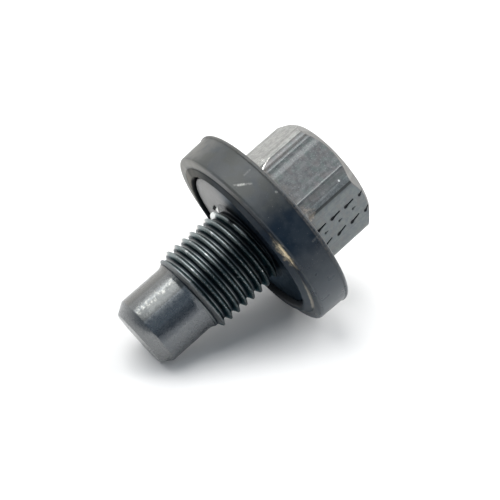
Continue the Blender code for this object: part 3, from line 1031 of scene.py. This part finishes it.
# %% Place the camera
SENSOR_WIDTH = 36
FOCAL_PIXELS = 1072.44
PICTURE_PIXELS = 500

look_right = Vector((-0.68318, -0.02583, -0.72979))
look_up = Vector((0.71298, -0.23966, -0.65896))
look_back = look_right.cross(look_up).normalized()
look_up = look_back.cross(look_right).normalized()
turn = Matrix((look_right.normalized(), look_up, look_back)).transposed()
eye = Vector((-33.70, -155.05, 47.18)) * MM
camera_data = bpy.data.cameras.new("camera")
camera_data.sensor_width = SENSOR_WIDTH
camera_data.lens = SENSOR_WIDTH * FOCAL_PIXELS / PICTURE_PIXELS
camera_data.shift_x = -0.0608
camera_data.shift_y = 0.0757
camera_data.clip_start = 0.01
camera_data.clip_end = 10
camera = bpy.data.objects.new("camera", camera_data)
camera.matrix_world = Matrix.Translation(eye) @ turn.to_4x4()
bpy.context.collection.objects.link(camera)
bpy.context.scene.camera = camera
print("camera", [round(c / MM, 1) for c in eye], "mm, lens", round(camera_data.lens, 1), "mm")

# %% [markdown]
# ## The table
# The plug lies on its pilot's edge and its ring. In the frame's axes the table is therefore a tilted plane
# that touches both, and its height is found from the meshes.

# %% Place the table
LIE_ANGLE = math.radians(123.7)
LEAN = math.radians(26.1)
HALF_TABLE = 1.5
UNDER = Vector((0, 0, 0.025))

sideways = Vector((math.cos(LIE_ANGLE), math.sin(LIE_ANGLE), 0))
floor_normal = -(math.cos(LEAN) * sideways + Vector((0, 0, math.sin(LEAN))))
touch = min(floor_normal.dot(v.co) for mesh in (plug_mesh, ring_mesh) for v in mesh.vertices)
across_floor = floor_normal.orthogonal().normalized()
along_floor = floor_normal.cross(across_floor)
middle = floor_normal * touch + along_floor * along_floor.dot(UNDER) + across_floor * across_floor.dot(UNDER)
corners = []
for a, b in ((-1, -1), (1, -1), (1, 1), (-1, 1)):
    corners.append(tuple(middle + HALF_TABLE * (a * across_floor + b * along_floor)))
floor_mesh = bpy.data.meshes.new("table")
floor_mesh.from_pydata(corners, [], [(0, 1, 2, 3)])
table = bpy.data.objects.new("table", floor_mesh)
bpy.context.collection.objects.link(table)
print("table leans", round(math.degrees(LEAN), 1), "degrees from the plug's axis")

# %% [markdown]
# ## White paper
# Matt white paper catches the shadow. The camera sees it a touch brighter than the lamps make it, so that
# its far end melts into the white room. Seen from behind it is transparent and hides nothing.

# %% Finish of the table
WHITE = (1, 1, 1)

paper = bpy.data.materials.new("white_paper")
paper.use_nodes = True
sheet = paper.node_tree
matt = sheet.nodes["Principled BSDF"]
feed(matt.inputs["Base Color"], (0.86, 0.85, 0.835))
feed(matt.inputs["Roughness"], 0.9)
feed(matt.inputs["Specular IOR Level"], 0)
from_camera = add_node(sheet, "ShaderNodeLightPath").outputs["Is Camera Ray"]
own_white = add_node(sheet, "ShaderNodeEmission", {"Color": WHITE})
brighter = add_node(sheet, "ShaderNodeMixShader", {
    0: calculate(sheet, "MULTIPLY", from_camera, 0.04), 1: matt.outputs[0], 2: own_white.outputs[0],
})
back_face = add_node(sheet, "ShaderNodeNewGeometry").outputs["Backfacing"]
clear = add_node(sheet, "ShaderNodeBsdfTransparent")
paper_mix = add_node(sheet, "ShaderNodeMixShader", {
    0: calculate(sheet, "MULTIPLY", back_face, from_camera), 1: brighter.outputs[0], 2: clear.outputs[0],
})
feed(sheet.nodes["Material Output"].inputs["Surface"], paper_mix.outputs[0])
floor_mesh.materials.append(paper)
print("paper has", len(sheet.nodes), "nodes")

# %% [markdown]
# ## Lamps
# One big soft lamp hangs above the plug, a little to the left and in front, and a second one above on the
# right. Large lamps give the broad, soft-edged highlights of studio light on steel.

# %% Soft lamps
LAMP_TARGET = Vector((0, 0, 22)) * MM


def soft_lamp(name, direction, distance, side, power):
    """direction is given as the camera sees it: right, up, towards the camera."""
    towards = (turn @ Vector(direction)).normalized()
    data = bpy.data.lights.new(name, "AREA")
    data.shape = "SQUARE"
    data.size = side
    data.energy = power
    lamp = bpy.data.objects.new(name, data)
    facing_target = towards.to_track_quat("Z", "Y").to_matrix().to_4x4()
    lamp.matrix_world = Matrix.Translation(LAMP_TARGET + towards * distance) @ facing_target
    bpy.context.collection.objects.link(lamp)
    print(name, "is", side, "m wide,", distance, "m away and has", power, "W")


soft_lamp("overhead_softbox", (-0.28, 0.76, 0.59), 0.5, 0.42, 2.4)
soft_lamp("right_fill", (0.78, 0.60, 0.20), 0.6, 0.5, 2.7)

# %% [markdown]
# ## The room
# Dark metal looks like what it mirrors. So the room is pale behind the plug and dark blue-grey behind the
# camera, which gives the steel its contrast. Only the camera sees it plain white.

# %% World
PALE_ROOM = (1.6, 1.6, 1.58)
DARK_ROOM = (0.065, 0.115, 0.175)

world = bpy.data.worlds.new("studio")
bpy.context.scene.world = world
world.use_nodes = True
room = world.node_tree
direction = add_node(room, "ShaderNodeTexCoord").outputs["Generated"]
to_camera = add_node(room, "ShaderNodeVectorMath", {0: direction, 1: look_back}, operation="DOT_PRODUCT")
depth = add_node(room, "ShaderNodeMapRange", {
    "Value": to_camera.outputs["Value"], "From Min": -0.7, "From Max": 0.95,
}, interpolation_type="SMOOTHSTEP")
shade = add_node(room, "ShaderNodeMix", {0: depth.outputs[0], 6: PALE_ROOM, 7: DARK_ROOM}, data_type="RGBA")
fill = room.nodes["Background"]
feed(fill.inputs["Strength"], 1)
feed(fill.inputs["Color"], shade.outputs[2])
white = add_node(room, "ShaderNodeBackground", {"Color": WHITE})
seen = add_node(room, "ShaderNodeLightPath").outputs["Is Camera Ray"]
choose = add_node(room, "ShaderNodeMixShader", {0: seen, 1: fill.outputs[0], 2: white.outputs[0]})
feed(room.nodes["World Output"].inputs["Surface"], choose.outputs[0])
bpy.context.scene.view_settings.view_transform = "Standard"
print("room has", len(room.nodes), "nodes")
